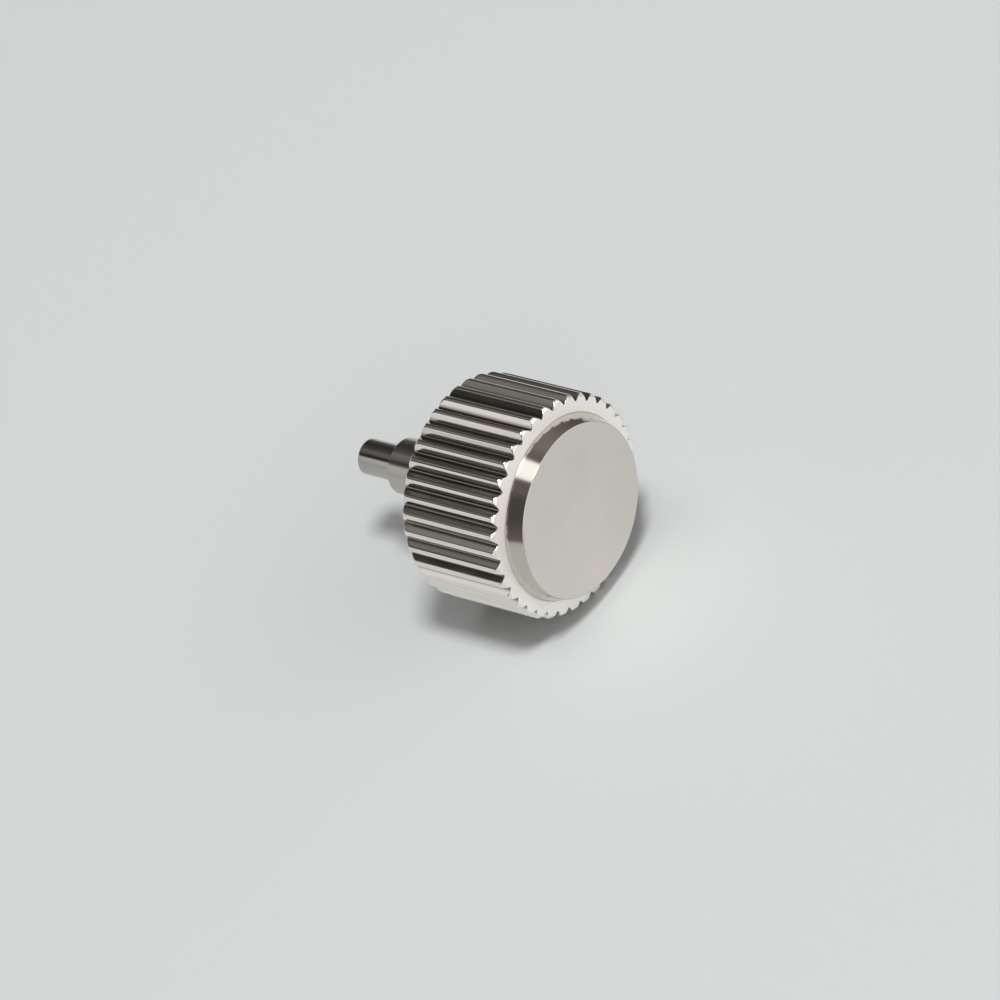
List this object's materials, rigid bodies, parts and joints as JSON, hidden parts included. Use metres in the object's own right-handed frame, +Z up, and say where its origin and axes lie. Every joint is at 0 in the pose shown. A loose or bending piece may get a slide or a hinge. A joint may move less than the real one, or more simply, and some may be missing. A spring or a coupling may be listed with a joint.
{
  "type": "watch crown",
  "caption": "Screw-down watch crown with a fluted barrel and raised plain boss, on its press-in case tube, with a sprung post tapped for the winding stem.",
  "frame": {"origin": "on the crown's axis, in the plane where the tube's shoulder meets the watch case", "axes": "+X along the winding stem, out of the case towards the crown's front; +Z up with the crown lying on its side, as it also sits in a watch lying dial up"},
  "size_m": [0.0098, 0.008, 0.008],
  "materials": {
    "crown_steel": "polished flutes, fine satin front",
    "inner_steel": "turned",
    "tube_steel": "fine turned",
    "post_steel": "polished",
    "spring_steel": "drawn wire",
    "bush_brass": "turned",
    "seal_rubber": "matt"
  },
  "bodies": {
    "tube": {"case_tube": "tube_steel", "outer_tube_seal": "seal_rubber", "inner_tube_seal": "seal_rubber"},
    "post": {"stem_post": "post_steel", "crown_spring": "spring_steel"},
    "crown": {"crown_shell": "crown_steel", "threaded_insert": "inner_steel", "crown_gasket": "seal_rubber", "gasket_washer": "inner_steel", "drive_sleeve": "inner_steel", "sleeve_end_bush": "bush_brass"}
  },
  "joints": [
    {"name": "crown_turn", "type": "hinge", "parent": "tube", "child": "post", "pos_m": [0, 0, 0], "axis": [1, 0, 0], "range_deg": [0, 1080]},
    {"name": "crown_rise", "type": "slide", "parent": "post", "child": "crown", "axis": [1, 0, 0], "range_m": [0, 0.00105], "deforming": ["crown_spring"]}
  ],
  "couplings": [
    {"joint": "crown_turn", "follows": "crown_rise", "rad_per_m": 17952}
  ]
}
